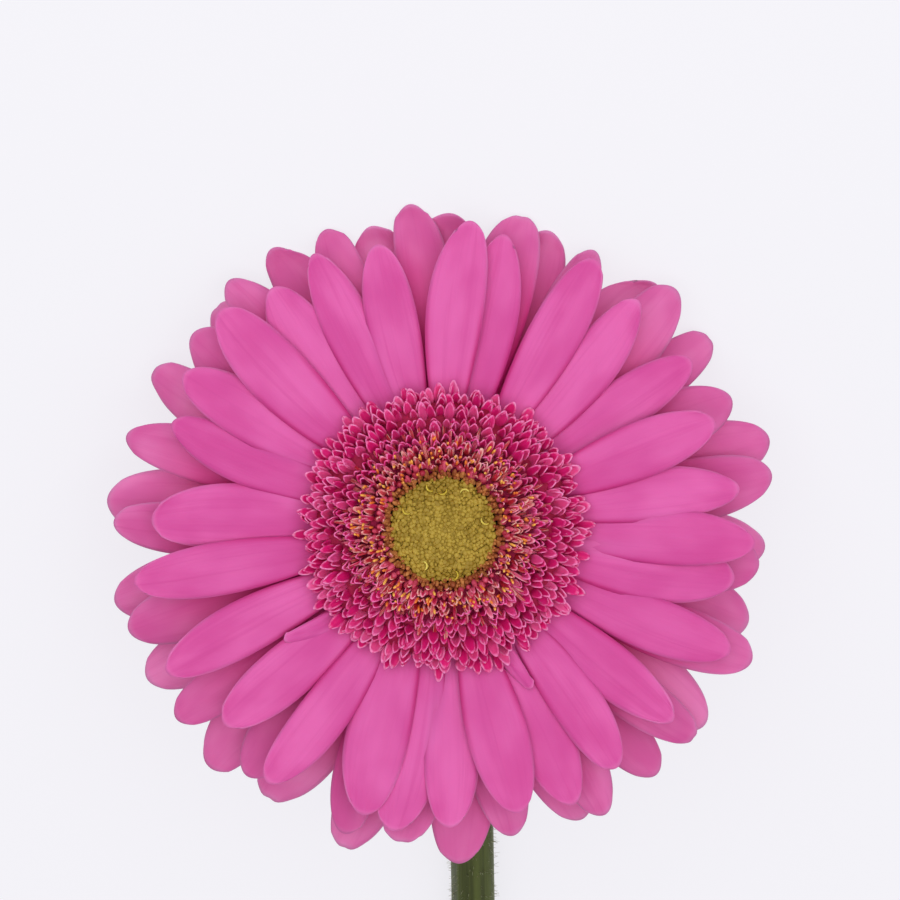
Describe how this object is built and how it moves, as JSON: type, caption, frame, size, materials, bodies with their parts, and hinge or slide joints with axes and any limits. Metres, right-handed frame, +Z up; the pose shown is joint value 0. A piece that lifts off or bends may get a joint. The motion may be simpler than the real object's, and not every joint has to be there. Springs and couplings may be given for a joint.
{
  "type": "cut gerbera",
  "caption": "Cut gerbera lying down: a double pink head with layered petals, a ring of small florets round a budded eye, a green involucre and a bent, slant-cut stem.",
  "frame": {"origin": "centre of the bounding box on the surface that the flower lies on", "axes": "+Z up from the surface, +Y along the lying stem towards its cut end; the head is at -Y and faces up and towards -Y"},
  "size_m": [0.1077, 0.38, 0.0544],
  "materials": {
    "petals": "soft matt pink petal, faintly ribbed along its length, paler at the edges",
    "small_florets": "deep magenta florets with pale pink lips",
    "buds": "matt olive-yellow closed buds",
    "bracts": "matt grey-green bracts with a short down",
    "stem": "satin olive-green stem with fine pale hairs"
  },
  "bodies": {
    "root": {"ray_florets": "petals", "inner_florets": "small_florets", "eye": "buds", "involucre": "bracts", "stem": "stem"}
  },
  "joints": []
}
